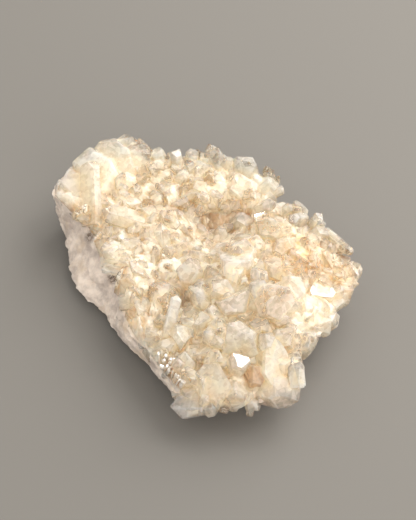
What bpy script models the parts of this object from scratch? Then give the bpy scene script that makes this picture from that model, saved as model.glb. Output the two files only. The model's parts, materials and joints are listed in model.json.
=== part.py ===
"""A clear quartz cluster: a broken plate of milky quartz matrix under a bed of intergrown crystals.

Run it with: blender --background --python part.py
Blender's units are metres and +Z is up. The tables are in millimetres, and MM turns them into metres.
The cluster stands on the flat underside of its matrix, at z = 0, and the middle of its box is at x = y = 0.
"""

import math
import random
from collections import namedtuple

import bmesh
import bpy
from mathutils import Matrix, Vector, noise

MM = 0.001

# ---------------------------------------------------------------- driving dimensions, in millimetres

BOX_MIDDLE = Vector((-1.0, 2.1, 0.0))  # where the middle of the finished box falls on the tables' grid

# One place on the edge of the plate: where the crystal bed ends, where the wall below meets its foot, and
# how far the tips of the outermost crystals reach beyond the bed.
Station = namedtuple("Station", "rim foot reach")

# Anticlockwise from the right-hand corner. Along the left-hand front the foot stands out beyond the rim,
# so the broken wall leans back there; everywhere else the crystals overhang it.
STATIONS = (
    Station((51, 0), (44, 0), 4),
    Station((49, 5), (43, 5), 3.5),
    Station((42, 11), (37, 10), 6),
    Station((36, 18), (31, 16), 7),
    Station((29, 23), (25, 21), 6),
    Station((23, 31), (20, 28), 7),
    Station((19, 38), (16, 34), 8),
    Station((11, 43), (9, 38), 7.5),
    Station((1, 46), (0, 41), 6.5),
    Station((-9, 47), (-9, 42), 6),
    Station((-19, 48), (-18, 43), 6.5),
    Station((-28, 52), (-27, 46), 6),
    Station((-36, 50), (-34, 45), 7),
    Station((-44, 45), (-42, 41), 7.5),
    Station((-53, 40), (-49, 37), 5),
    Station((-55, 34), (-53, 33), 1.5),
    Station((-50, 28), (-52, 28), 2),
    Station((-43, 22), (-50, 21), 2),
    Station((-39, 13), (-49, 14), 1.5),
    Station((-37, 6), (-47, 6), 1.5),
    Station((-32, 0), (-42, -1), 1.5),
    Station((-30, -8), (-37, -6), 2),
    Station((-28, -16), (-33, -12), 2),
    Station((-24, -24), (-28, -19), 1.5),
    Station((-18, -32), (-20, -29), 1.5),
    Station((-13, -40), (-13, -37), 2),
    Station((-9, -45), (-9, -42), 3),
    Station((0, -48), (0, -43), 5),
    Station((10, -48), (9, -43), 5),
    Station((20, -46), (18, -41), 4),
    Station((28, -42), (25, -38), 5),
    Station((29, -34), (26, -32), 5),
    Station((34, -27), (30, -25), 3.5),
    Station((41, -20), (36, -18), 4),
    Station((47, -10), (41, -9), 4),
)
PLATE_HEART = (0.0, 2.0)  # the rings of the plate close in on this point

BED_LEVEL = 16.5  # height of the bed above the table at the grid's origin
BED_RISE = 0.07  # and its rise for each millimetre towards the back

# A swelling of the bed, or a hollow where height is negative, with its bell-shaped spread.
Bump = namedtuple("Bump", "x y height spread")
RELIEF = (
    Bump(16, -14, 8.0, 17),  # the mound that carries the largest points
    Bump(6, 40, 2.5, 12),  # ridge along the back
    Bump(-50, 34, 2.0, 8),  # left-hand corner
    Bump(3, 19, -5.0, 9),  # hollow behind the mound
    Bump(-6, -9, -3.5, 7),  # hollow to the left of the mound
)
RIM_DROP = 2.0  # the bed rolls off by this much at its edge
RIM_ROLL_FROM = 0.8  # from this share of the way out

FOOT_INSET = 5.0  # the flat underside ends this far inside the foot
WALL_ROUGHNESS = 1.1  # how far the broken wall stands in and out
WALL_GRAIN = 9.0  # size of its lumps
BED_ROUGHNESS = 0.5
JOINT_GAP = 0.3  # between the matrix and the crystals' common root

ROOT_BED_THICKNESS = 1.6  # of the layer of quartz that the crystals share at their roots
ROOT_BED_DEPTH = 4.0  # how far below the bed that layer starts, before it is cut
FLAT_WITHIN = math.radians(2.5)  # neighbouring faces that turn by less than this become one

# The form of one crystal. Lengths here are shares of its radius.
RHOMB_TILT = math.radians(51.8)  # from its axis to the normal of its end faces
TAPER = 1.05  # the radius at its root
FLATNESS = (0.82, 1.0)
LARGER_END_DROP = (0.0, 0.35)  # how far the three larger end faces are set in towards the root
SMALLER_END_RISE = (0.0, 0.45)  # and how far out the three smaller ones are
TIP_ASIDE = 0.3  # the most that a small crystal's tip stands to one side

# One crystal, from its root in the bed to its tip, with the radius to its edges.
Point = namedtuple("Point", "root tip radius")

LARGE_POINTS = {
    "mound_crown": Point((15, 2, 17), (7, -5, 35), 5.0),
    "mound_shoulder": Point((15, -14, 18), (4, -18, 34), 5.4),
    "mound_summit": Point((25, -16, 17), (20, -23, 38), 6.8),
    "mound_front": Point((15, -27, 15), (6, -34, 31), 5.6),
    "mound_right": Point((30, -14, 16), (28, -11, 34), 4.4),
    "mound_back": Point((19, -8, 17), (17, -9, 34), 3.4),
    "front_blade": Point((5, -42, 8), (5, -36, 27), 5.0),
    "front_glint": Point((18, -38, 12), (13, -37, 26), 3.4),
    "front_prism": Point((27, -40, 12), (16, -32, 29), 4.8),
    "front_right_block": Point((16, -38, 11), (33, -49, 17), 5.2),
    "front_right_stub": Point((24, -36, 12), (31, -36, 23), 3.8),
    "front_nose": Point((10, -43, 8), (10, -48, 23), 4.2),
    "front_left_block": Point((1, -45, 9), (-13, -50, 12), 4.2),
    "front_pebble_a": Point((3, -45, 8), (0, -53, 14), 3.0),
    "front_pebble_b": Point((8, -43, 8), (5, -52, 13), 2.8),
    "front_pebble_c": Point((16, -42, 9), (14, -52, 13), 3.0),
    "right_flat": Point((47, -6, 12), (34, -11, 22), 3.2),
    "right_corner": Point((46, 1, 12), (54, 2, 21), 4.2),
    "right_needle": Point((37, 18, 15), (51, 6, 22), 2.0),
    "right_slope_a": Point((42, -15, 10), (31, -15, 25), 4.2),
    "right_slope_b": Point((31, -27, 12), (36, -27, 22), 3.6),
    "stained_a": Point((40, 6, 13), (36, 7, 24), 3.2),
    "stained_b": Point((32, 5, 14), (29, 4, 26), 3.4),
    "back_window_a": Point((3, 43, 17), (3, 49, 28), 3.6),
    "back_window_b": Point((10, 40, 17), (17, 47, 28), 4.2),
    "back_slab": Point((12, 34, 17), (14, 36, 29), 5.2),
    "back_stub_a": Point((-15, 44, 18), (-20, 52, 25), 3.2),
    "back_stub_b": Point((-10, 44, 18), (-12, 50, 27), 3.2),
    "back_stub_c": Point((-4, 43, 18), (-6, 50, 27), 2.6),
    "back_right_a": Point((16, 27, 16), (26, 25, 27), 3.0),
    "back_right_b": Point((28, 23, 15), (34, 26, 24), 2.8),
    "back_right_c": Point((35, 18, 14), (41, 22, 24), 2.8),
    "clear_crest": Point((27, 13, 15), (17, 15, 29), 4.6),
    "hollow_rim": Point((3, 30, 15), (-4, 29, 25), 3.2),
    "centre_left": Point((-4, -4, 12), (-7, -1, 29), 5.0),
    "left_prism": Point((-41, 25, 19), (-41, 45, 27), 3.8),
    "left_lump": Point((-47, 36, 15), (-56, 39, 23), 5.0),
    "left_slab": Point((-22, 21, 18), (-39, 22, 25), 3.8),
    "left_tooth": Point((-25, 10, 16), (-37, 6, 22), 3.2),
    "left_needle": Point((-33, 38, 19), (-42, 49, 27), 1.9),
    "left_window_a": Point((-34, 48, 18), (-22, 51, 26), 4.0),
    "left_window_b": Point((-39, 46, 18), (-27, 57, 25), 3.6),
    "low_left_knob": Point((-12, -9, 12), (-19, -9, 25), 4.4),
    "low_left_blade": Point((-18, -31, 10), (-13, -14, 22), 2.3),
    "low_left_dome": Point((-1, -27, 11), (-9, -22, 25), 5.0),
    "low_left_stub": Point((-6, -39, 8), (-7, -33, 22), 4.2),
    "mound_foot": Point((6, -20, 14), (0, -21, 28), 3.8),
}

# The smaller crystals fill the bed between the large ones.
SEED = 41
DRUSE_SPACING = 7.4
DRUSE_RADIUS = (3.2, 4.9)
DRUSE_REACH = (4.6, 8.0)  # how far a tip stands above the bed
DRUSE_LEAN = math.radians(42)  # the most that one leans away from the bed's own normal
DRUSE_JITTER = 0.3  # the most that one is off its place in the grid, as a share of the spacing
DRUSE_ROOT = 3.0  # how far below the bed it starts
DRUSE_LIMIT = 0.9  # they keep to this share of the way out to the rim
CLEARANCE_SHARE = 0.9  # a small crystal keeps this share of a large one's radius away from its middle
PLATE_SPAN = 120  # the grid is laid over a square of this side

# The fringe is the row of crystals that lean out over the rim.
FRINGE_SPACING = 6.6
FRINGE_RADIUS = (2.6, 3.9)
FRINGE_LIFT = (2.5, 6.0)  # how far a tip stands above the rim
FRINGE_ROOT = 4.5  # how far inside the rim it starts
FRINGE_DEPTH = 1.5  # and how far below the rim
FRINGE_FAN = 2.5  # how far a tip stands to one side of its root

COLOURS = {
    "matrix": ((0.66, 0.60, 0.55, 1.0), 0.75, 0.0),
    "crystals": ((0.86, 0.76, 0.62, 1.0), 0.12, 0.6),
}  # base colour, roughness and transmission


# ---------------------------------------------------------------- the plate's shape


def around(turn, corner):
    """Point on the closed line through every station's rim or foot, where turn runs from 0 to 1."""
    count = len(STATIONS)
    place = (turn % 1.0) * count
    first = int(place)
    share = place - first
    a, b, c, d = (Vector(getattr(STATIONS[(first + k) % count], corner)) for k in (-1, 0, 1, 2))
    smooth = 0.5 * (2 * b + (c - a) * share + (2 * a - 5 * b + 4 * c - d) * share**2
                    + (3 * b - a - 3 * c + d) * share**3)
    return smooth


def reach_at(turn):
    """How far the outermost crystals reach beyond the rim at a turn around the plate."""
    place = (turn % 1.0) * len(STATIONS)
    first = int(place)
    share = place - first
    return STATIONS[first].reach * (1 - share) + STATIONS[(first + 1) % len(STATIONS)].reach * share


def bed_height(x, y):
    """Height of the crystal bed, before its edge rolls off."""
    height = BED_LEVEL + BED_RISE * y
    for bump in RELIEF:
        away = (x - bump.x) ** 2 + (y - bump.y) ** 2
        height += bump.height * math.exp(-away / (2 * bump.spread**2))
    return height


def roll_off(out):
    """How far the bed has dropped at this share of the way from the plate's heart to its rim."""
    past = max(0.0, out - RIM_ROLL_FROM) / (1.0 - RIM_ROLL_FROM)
    return RIM_DROP * past**2


def plate_point(turn, out):
    """Point of the bed at a turn around the plate and a share of the way out from its heart."""
    heart = Vector(PLATE_HEART)
    flat = heart.lerp(around(turn, "rim"), out)
    return Vector((flat.x, flat.y, bed_height(flat.x, flat.y) - roll_off(out)))


def bed_normal(x, y, step=1.0):
    """Direction in which the bed faces."""
    slope_x = (bed_height(x + step, y) - bed_height(x - step, y)) / (2 * step)
    slope_y = (bed_height(x, y + step) - bed_height(x, y - step)) / (2 * step)
    return Vector((-slope_x, -slope_y, 1.0)).normalized()


# ---------------------------------------------------------------- cages: a sphere's rows, shaped into a plate

WALL_ROWS = (0.24, 0.42, 0.6, 0.8, 1.0)  # shares of the rim's height
UNDERSIDE_ROWS = (0.0, 0.5, 1.0)  # shares of the way out to the edge of the flat underside
BED_ROWS = (0.82, 0.62, 0.4, 0.0)  # shares of the way out to the rim
AROUND = 48


def matrix_row(turn, row):
    """Place of the matrix's cage at a turn around the plate, for a row counted from underneath."""
    heart = Vector(PLATE_HEART)
    foot = around(turn, "foot")
    if row < len(UNDERSIDE_ROWS):
        edge = foot - (foot - heart).normalized() * FOOT_INSET
        flat = heart.lerp(edge, UNDERSIDE_ROWS[row])
        return Vector((flat.x, flat.y, 0.0))
    row -= len(UNDERSIDE_ROWS)
    if row < len(WALL_ROWS):
        share = WALL_ROWS[row]
        rim = plate_point(turn, 1.0)
        flat = foot.lerp(rim.xy, (share - WALL_ROWS[0]) / (1.0 - WALL_ROWS[0]))
        place = Vector((flat.x, flat.y, rim.z * share))
        return place + WALL_ROUGHNESS * noise.noise_vector(place / WALL_GRAIN, noise_basis="VORONOI_F1")
    place = plate_point(turn, BED_ROWS[row - len(WALL_ROWS)])
    place.z += BED_ROUGHNESS * noise.noise(place / WALL_GRAIN)
    return place


ROOT_ROWS = (0.0, 0.9, 0.98) + BED_ROWS  # shares of the way out: out below, then back above
ROOT_TURN = 2  # the row from which they lie above


def root_bed_row(turn, row):
    """Place of the cage of the layer that the crystals share, for a row counted from underneath."""
    place = plate_point(turn, ROOT_ROWS[row])
    place.z += ROOT_BED_THICKNESS if row >= ROOT_TURN else -ROOT_BED_DEPTH
    return place


def shaped_sphere(rows, place_of):
    """A mesh whose rows of latitude stand where place_of(turn, row) says, row 0 being the south pole."""
    bm = bmesh.new()
    bmesh.ops.create_uvsphere(bm, u_segments=AROUND, v_segments=rows - 1, radius=1.0)
    for vert in bm.verts:
        latitude = math.asin(max(-1.0, min(1.0, vert.co.z)))
        row = round((latitude / math.pi + 0.5) * (rows - 1))
        turn = round(math.atan2(vert.co.y, vert.co.x) / (2 * math.pi) * AROUND) / AROUND
        vert.co = place_of(turn, row) * MM
    bmesh.ops.triangulate(bm, faces=bm.faces[:], quad_method="FIXED")
    bmesh.ops.recalc_face_normals(bm, faces=bm.faces)
    return bm


# ---------------------------------------------------------------- crystals


def end_cut(bm, length, azimuth, drop):
    """Cuts one end face on a crystal that stands on the origin, this far below its full length."""
    normal = Vector((math.cos(azimuth) * math.sin(RHOMB_TILT), math.sin(azimuth) * math.sin(RHOMB_TILT),
                     math.cos(RHOMB_TILT)))
    cut = bmesh.ops.bisect_plane(bm, geom=bm.verts[:] + bm.edges[:] + bm.faces[:], clear_outer=True,
                                 plane_co=(0, 0, length - drop), plane_no=normal)
    edges = [piece for piece in cut["geom_cut"] if isinstance(piece, bmesh.types.BMEdge)]
    if len(edges) > 2:
        bmesh.ops.contextual_create(bm, geom=edges)


def prism(length, radius):
    """A six-sided prism that stands on the origin and tapers a little upwards."""
    bm = bmesh.new()
    bmesh.ops.create_cone(bm, cap_ends=True, segments=6, radius1=radius * TAPER, radius2=radius, depth=length,
                          matrix=Matrix.Translation((0, 0, length / 2)))
    return bm


def large_crystal(length, radius, rng):
    """A quartz point whose three larger and three smaller end faces meet near its tip."""
    bm = prism(length, radius)
    for side in range(6):
        larger = side % 2 == 0
        drop = rng.uniform(*LARGER_END_DROP) if larger else -rng.uniform(*SMALLER_END_RISE)
        end_cut(bm, length, math.radians(60 * side), drop * radius)
    return bm


def small_crystal(length, radius, rng):
    """A quartz point with six end faces that meet at a tip set a little to one side."""
    rise = radius * math.cos(math.pi / 6) * math.tan(RHOMB_TILT)
    bm = prism(length - rise, radius)
    top = max(bm.faces, key=lambda face: face.calc_center_median().z)
    poked = bmesh.ops.poke(bm, faces=[top], offset=rise)
    aside = rng.uniform(0.0, TIP_ASIDE) * radius
    towards = rng.uniform(0, math.tau)
    poked["verts"][0].co += Vector((aside * math.cos(towards), aside * math.sin(towards), 0.0))
    return bm


def placed_crystal(point, shape_of, rng):
    """A crystal of the shape asked for, a little flattened and turned, from its root to its tip."""
    root = Vector(point.root)
    tip = Vector(point.tip)
    bm = shape_of((tip - root).length, point.radius, rng)
    flatness = rng.uniform(*FLATNESS)
    spin = Matrix.Rotation(rng.uniform(0, math.tau), 4, "Z")
    turn = (tip - root).to_track_quat("Z", "Y").to_matrix().to_4x4()
    squeeze = Matrix.Diagonal((1.0, flatness, 1.0, 1.0))
    bmesh.ops.transform(bm, matrix=Matrix.Translation(root) @ turn @ spin @ squeeze, verts=bm.verts)
    bmesh.ops.scale(bm, vec=(MM, MM, MM), verts=bm.verts)
    mesh = bpy.data.meshes.new("crystal")
    bm.to_mesh(mesh)
    bm.free()
    return mesh


def inside_plate(x, y, share):
    """True where a point lies within this share of the way out to the rim."""
    heart = Vector(PLATE_HEART)
    line = [heart.lerp(Vector(station.rim), share) for station in STATIONS]
    inside = False
    for a, b in zip(line, line[1:] + line[:1]):
        if (a.y > y) != (b.y > y) and x < a.x + (b.x - a.x) * (y - a.y) / (b.y - a.y):
            inside = not inside
    return inside


def near_large_point(x, y):
    """True where a large point already stands."""
    for point in LARGE_POINTS.values():
        middle = (Vector(point.root) + Vector(point.tip)) / 2
        if math.hypot(x - middle.x, y - middle.y) < point.radius * CLEARANCE_SHARE:
            return True
    return False


def druse_points(rng):
    """Small crystals on a jittered grid over the bed."""
    points = []
    half = int(PLATE_SPAN / DRUSE_SPACING / 2)
    for i in range(-half, half + 1):
        for j in range(-half, half + 1):
            x = (i + 0.5 * (j % 2) + rng.uniform(-DRUSE_JITTER, DRUSE_JITTER)) * DRUSE_SPACING
            y = (j * math.cos(math.pi / 6) + rng.uniform(-DRUSE_JITTER, DRUSE_JITTER)) * DRUSE_SPACING
            radius = rng.uniform(*DRUSE_RADIUS)
            reach = rng.uniform(*DRUSE_REACH)
            lean = math.tan(rng.uniform(0.15, 1.0) * DRUSE_LEAN)
            towards = rng.uniform(0, math.tau)
            if not inside_plate(x, y, DRUSE_LIMIT) or near_large_point(x, y):
                continue
            axis = bed_normal(x, y) + lean * Vector((math.cos(towards), math.sin(towards), 0.0))
            axis.normalize()
            foot = Vector((x, y, bed_height(x, y)))
            points.append(Point(foot - axis * DRUSE_ROOT, foot + axis * reach, radius))
    return points


def fringe_points(rng):
    """Crystals that lean out over the rim, evenly set along it."""
    steps = 20 * len(STATIONS)
    walk = [around(step / steps, "rim") for step in range(steps + 1)]
    travelled = 0.0
    wanted = 0.0
    points = []
    for step in range(steps):
        stride = walk[step + 1] - walk[step]
        if travelled >= wanted:
            wanted += FRINGE_SPACING * rng.uniform(0.85, 1.15)
            rim = walk[step]
            along = stride.normalized()
            outward = Vector((along.y, -along.x))
            level = bed_height(rim.x, rim.y) - RIM_DROP
            root = rim - outward * FRINGE_ROOT
            tip = rim + outward * reach_at(step / steps) * rng.uniform(0.75, 1.0)
            tip += along * rng.uniform(-FRINGE_FAN, FRINGE_FAN)
            points.append(Point((root.x, root.y, level - FRINGE_DEPTH),
                                (tip.x, tip.y, level + rng.uniform(*FRINGE_LIFT)), rng.uniform(*FRINGE_RADIUS)))
        travelled += stride.length
    return points


# ---------------------------------------------------------------- objects and the cuts between them


def material(name):
    """A Principled material with the piece's plain colour."""
    colour, roughness, transmission = COLOURS[name]
    made = bpy.data.materials.new(name)
    made.use_nodes = True
    shader = made.node_tree.nodes["Principled BSDF"]
    shader.inputs["Base Color"].default_value = colour
    shader.inputs["Roughness"].default_value = roughness
    shader.inputs["Transmission Weight"].default_value = transmission
    shader.inputs["IOR"].default_value = 1.544
    return made


def collection(name):
    """A new collection in the scene."""
    made = bpy.data.collections.new(name)
    bpy.context.scene.collection.children.link(made)
    return made


def mesh_object(name, bm, home):
    """An object for a bmesh, set so that the middle of the finished box is the origin."""
    mesh = bpy.data.meshes.new(name)
    bm.to_mesh(mesh)
    bm.free()
    made = bpy.data.objects.new(name, mesh)
    made.location = -BOX_MIDDLE * MM
    home.objects.link(made)
    return made


def add_mesh(bm, mesh):
    """Moves a mesh's shape into a bmesh."""
    bm.from_mesh(mesh)
    bpy.data.meshes.remove(mesh)


def hide_as_helper(obj):
    """Keeps a cutter or a guide out of the model."""
    obj.hide_render = True
    obj.display_type = "WIRE"


def boolean(obj, operation, other, joins_itself=False):
    """Adds an exact Boolean with another object."""
    modifier = obj.modifiers.new(operation.lower(), "BOOLEAN")
    modifier.operation = operation
    modifier.object = other
    modifier.solver = "EXACT"
    modifier.use_self = joins_itself


def keep_largest_body(obj):
    """Applies an object's modifiers, leaves out the chips that the cuts part from its main body, and joins
    the faces that lie in one plane."""
    bm = bmesh.new()
    bm.from_object(obj, bpy.context.evaluated_depsgraph_get())
    unseen = set(bm.verts)
    bodies = []
    while unseen:
        body = []
        reached = [unseen.pop()]
        while reached:
            vert = reached.pop()
            body.append(vert)
            for edge in vert.link_edges:
                other = edge.other_vert(vert)
                if other in unseen:
                    unseen.remove(other)
                    reached.append(other)
        bodies.append(body)
    bodies.sort(key=len)
    chips = [vert for body in bodies[:-1] for vert in body]
    bmesh.ops.delete(bm, geom=chips, context="VERTS")
    bmesh.ops.dissolve_limit(bm, angle_limit=FLAT_WITHIN, verts=bm.verts, edges=bm.edges)
    bmesh.ops.triangulate(bm, faces=bm.faces)
    obj.modifiers.clear()
    bm.to_mesh(obj.data)
    bm.free()


def clear_scene():
    """Removes whatever the scene holds."""
    for obj in list(bpy.data.objects):
        bpy.data.objects.remove(obj)


def build():
    """Builds the matrix, and the crystals fused at their roots and cut off just above it."""
    clear_scene()
    parts = collection("clear_quartz_cluster")
    helpers = collection("helpers")

    matrix_rows = len(UNDERSIDE_ROWS) + len(WALL_ROWS) + len(BED_ROWS)
    matrix = mesh_object("matrix", shaped_sphere(matrix_rows, matrix_row), parts)
    matrix.data.materials.append(material("matrix"))

    swollen = matrix.copy()
    swollen.name = "matrix_with_gap"
    helpers.objects.link(swollen)
    hide_as_helper(swollen)
    swell = swollen.modifiers.new("gap", "DISPLACE")
    swell.strength = JOINT_GAP * MM
    swell.mid_level = 0.0

    rng = random.Random(SEED)
    loose = bmesh.new()
    for point in LARGE_POINTS.values():
        add_mesh(loose, placed_crystal(point, large_crystal, rng))
    for point in druse_points(rng) + fringe_points(rng):
        add_mesh(loose, placed_crystal(point, small_crystal, rng))
    points = mesh_object("loose_points", loose, helpers)
    hide_as_helper(points)

    crystals = mesh_object("crystals", shaped_sphere(len(ROOT_ROWS), root_bed_row), parts)
    crystals.data.materials.append(material("crystals"))
    boolean(crystals, "UNION", points, joins_itself=True)
    boolean(crystals, "DIFFERENCE", swollen)
    keep_largest_body(crystals)


build()
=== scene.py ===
"""The looks of a clear quartz cluster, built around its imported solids.

Every table below is in the specimen's own millimetres: z is up from the table it lies on, -y is the front,
and DATUM carries the grid to the frame, whose origin is the middle of the box on the underside.
"""

import json
import logging
import math
import random
from dataclasses import dataclass, field
from enum import Enum
from typing import Iterator

import bmesh
import bpy
from mathutils import Matrix, Vector, noise

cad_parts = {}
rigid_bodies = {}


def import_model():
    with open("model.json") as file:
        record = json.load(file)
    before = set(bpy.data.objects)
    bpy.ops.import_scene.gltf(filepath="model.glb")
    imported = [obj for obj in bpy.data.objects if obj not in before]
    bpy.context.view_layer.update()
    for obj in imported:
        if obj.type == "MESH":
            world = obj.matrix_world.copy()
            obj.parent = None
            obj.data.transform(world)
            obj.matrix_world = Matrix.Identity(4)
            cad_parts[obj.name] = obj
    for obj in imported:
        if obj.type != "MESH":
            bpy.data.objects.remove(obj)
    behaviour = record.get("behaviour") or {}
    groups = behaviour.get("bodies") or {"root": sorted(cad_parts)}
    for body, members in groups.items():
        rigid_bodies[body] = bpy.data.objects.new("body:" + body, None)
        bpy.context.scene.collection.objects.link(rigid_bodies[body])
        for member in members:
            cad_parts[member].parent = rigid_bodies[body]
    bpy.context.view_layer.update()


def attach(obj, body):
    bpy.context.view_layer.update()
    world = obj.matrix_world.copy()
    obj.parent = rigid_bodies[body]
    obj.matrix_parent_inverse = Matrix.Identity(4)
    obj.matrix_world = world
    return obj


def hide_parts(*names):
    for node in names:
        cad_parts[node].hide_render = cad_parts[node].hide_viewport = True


log = logging.getLogger("quartz_cluster")

MM = 0.001
NOISE_SEED = 1  # without one, the noise takes the clock for its seed and no two builds are alike
DATUM = Vector((-1.0, 2.1, 0.0))  # the frame's origin, on the tables' grid

Triple = tuple[float, float, float]
Pair = tuple[float, float]
Colour = tuple[float, float, float, float]


# ------------------------------------------------------------------------------------------ the plate's form


@dataclass(frozen=True)
class Station:
    """One place on the plate's edge: the end of the bed, the wall's foot, and how far the fringe reaches."""

    rim: Pair
    foot: Pair
    reach: float


@dataclass(frozen=True)
class Spot:
    """A round place on the bed that fades away from its middle."""

    x: float
    y: float
    spread: float

    def share(self, x: float, y: float) -> float:
        """Returns how strongly the spot acts at a place, from 0 to 1."""
        return math.exp(-((x - self.x) ** 2 + (y - self.y) ** 2) / (2 * self.spread**2))


@dataclass(frozen=True)
class Bump(Spot):
    """A swelling of the bed, or a dip in it where height is negative."""

    height: float


@dataclass(frozen=True)
class Hollow(Spot):
    """A place between the crystals where one looks down on the bed, which is painted darker there, as shade.
    """

    depth: float


@dataclass(frozen=True)
class Blush(Spot):
    """A patch of the crust that iron has stained, or that is greyed, partly by a greyer quartz and partly as
    painted half shade.
    """

    iron: float = 0.0
    grey_and_shade: float = 0.0


STATIONS = (
    Station((51, 0), (44, 0), 4),
    Station((49, 5), (43, 5), 3.5),
    Station((42, 11), (37, 10), 6),
    Station((36, 18), (31, 16), 7),
    Station((29, 23), (25, 21), 6),
    Station((23, 31), (20, 28), 7),
    Station((19, 38), (16, 34), 8),
    Station((11, 43), (9, 38), 7.5),
    Station((1, 46), (0, 41), 6.5),
    Station((-9, 47), (-9, 42), 6),
    Station((-19, 48), (-18, 43), 6.5),
    Station((-28, 52), (-27, 46), 6),
    Station((-36, 50), (-34, 45), 7),
    Station((-44, 45), (-42, 41), 7.5),
    Station((-53, 40), (-49, 37), 5),
    Station((-55, 34), (-53, 33), 1.5),
    Station((-50, 28), (-52, 28), 2),
    Station((-43, 22), (-50, 21), 2),
    Station((-39, 13), (-49, 14), 1.5),
    Station((-37, 6), (-47, 6), 1.5),
    Station((-32, 0), (-42, -1), 1.5),
    Station((-30, -8), (-37, -6), 2),
    Station((-28, -16), (-33, -12), 2),
    Station((-24, -24), (-28, -19), 1.5),
    Station((-18, -32), (-20, -29), 1.5),
    Station((-13, -40), (-13, -37), 2),
    Station((-9, -45), (-9, -42), 3),
    Station((0, -48), (0, -43), 5),
    Station((10, -48), (9, -43), 5),
    Station((20, -46), (18, -41), 4),
    Station((28, -42), (25, -38), 5),
    Station((29, -34), (26, -32), 5),
    Station((34, -27), (30, -25), 3.5),
    Station((41, -20), (36, -18), 4),
    Station((47, -10), (41, -9), 4),
)

RELIEF = (
    Bump(16, -14, 17, 8.0),
    Bump(6, 40, 12, 2.5),
    Bump(-50, 34, 8, 2.0),
    Bump(3, 19, 9, -5.0),
    Bump(-6, -9, 7, -3.5),
)


@dataclass(frozen=True)
class Plate:
    """The form that everything grows on: an outline of stations under a gently swelling bed."""

    heart: Pair = (0.0, 2.0)
    level: float = 16.5
    rise: float = 0.07
    rim_drop: float = 2.0
    roll_from: float = 0.8
    foot_inset: float = 5.0

    def around(self, turn: float, corner: str) -> Vector:
        """Returns the point on the smooth line through every station's rim or foot.

        Args:
            turn: How far round the plate, from 0 to 1, anticlockwise from the right-hand corner.
            corner: "rim" or "foot".
        """
        count = len(STATIONS)
        place = (turn % 1.0) * count
        first = int(place)
        share = place - first
        a, b, c, d = (Vector(getattr(STATIONS[(first + k) % count], corner)) for k in (-1, 0, 1, 2))
        return 0.5 * (2 * b + (c - a) * share + (2 * a - 5 * b + 4 * c - d) * share**2
                      + (3 * b - a - 3 * c + d) * share**3)

    def reach(self, turn: float) -> float:
        """Returns how far the fringe's tips stand beyond the rim at a turn round the plate."""
        place = (turn % 1.0) * len(STATIONS)
        first = int(place)
        share = place - first
        return STATIONS[first].reach * (1 - share) + STATIONS[(first + 1) % len(STATIONS)].reach * share

    def height(self, x: float, y: float) -> float:
        """Returns the bed's height above the table, before its edge rolls off."""
        height = self.level + self.rise * y
        for bump in RELIEF:
            height += bump.height * bump.share(x, y)
        return height

    def rolled(self, out: float) -> float:
        """Returns the bed's drop at a share of the way from the heart to the rim."""
        past = max(0.0, out - self.roll_from) / (1.0 - self.roll_from)
        return self.rim_drop * past**2

    def point(self, turn: float, out: float) -> Vector:
        """Returns the bed's point at a turn round the plate and a share of the way out."""
        flat = Vector(self.heart).lerp(self.around(turn, "rim"), out)
        return Vector((flat.x, flat.y, self.height(flat.x, flat.y) - self.rolled(out)))

    def normal(self, x: float, y: float) -> Vector:
        """Returns the way the bed faces."""
        slope_x = (self.height(x + 1, y) - self.height(x - 1, y)) / 2
        slope_y = (self.height(x, y + 1) - self.height(x, y - 1)) / 2
        return Vector((-slope_x, -slope_y, 1.0)).normalized()

    def holds(self, x: float, y: float, share: float) -> bool:
        """Returns whether a point lies within a share of the way out to the rim."""
        heart = Vector(self.heart)
        line = [heart.lerp(Vector(station.rim), share) for station in STATIONS]
        inside = False
        for a, b in zip(line, line[1:] + line[:1]):
            if (a.y > y) != (b.y > y) and x < a.x + (b.x - a.x) * (y - a.y) / (b.y - a.y):
                inside = not inside
        return inside


# ------------------------------------------------------------------------------------------ quartz points


class Habit(Enum):
    """How a quartz point ends."""

    POINT = "three larger and three smaller end faces"
    CHISEL = "one end face much larger than the rest"
    PYRAMID = "six like end faces"
    STUB = "broken off, with a slanting break"
    RHOMB = "three large end faces alone"


@dataclass(frozen=True)
class Point:
    """One quartz point, from its root in the bed to its tip, with the radius to its edges.

    grey_and_shade and clear make it greyer and clearer than its place does, the grey partly standing for
    painted half shade, and painted_shade makes it darker, as painted shade. flatness is its thickness across
    two sides, or 0 for a drawn one, mates is how many smaller ones stand against it, and spin turns it about
    its axis, in degrees, or is negative for a drawn turn. mirror and drop each cut an extra end face, that
    many radii below the tip: mirror's shows the lamp to the camera, and drop's looks the way that face says.
    """

    root: Triple
    tip: Triple
    radius: float
    habit: Habit = Habit.POINT
    grey_and_shade: float = 0.0
    clear: float = 0.0
    flatness: float = 0.0
    mates: int = 2
    mirror: float = 0.0
    face: Triple = (0.0, 0.0, 0.0)
    drop: float = 0.0
    spin: float = -1.0
    painted_shade: float = 0.0


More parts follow.
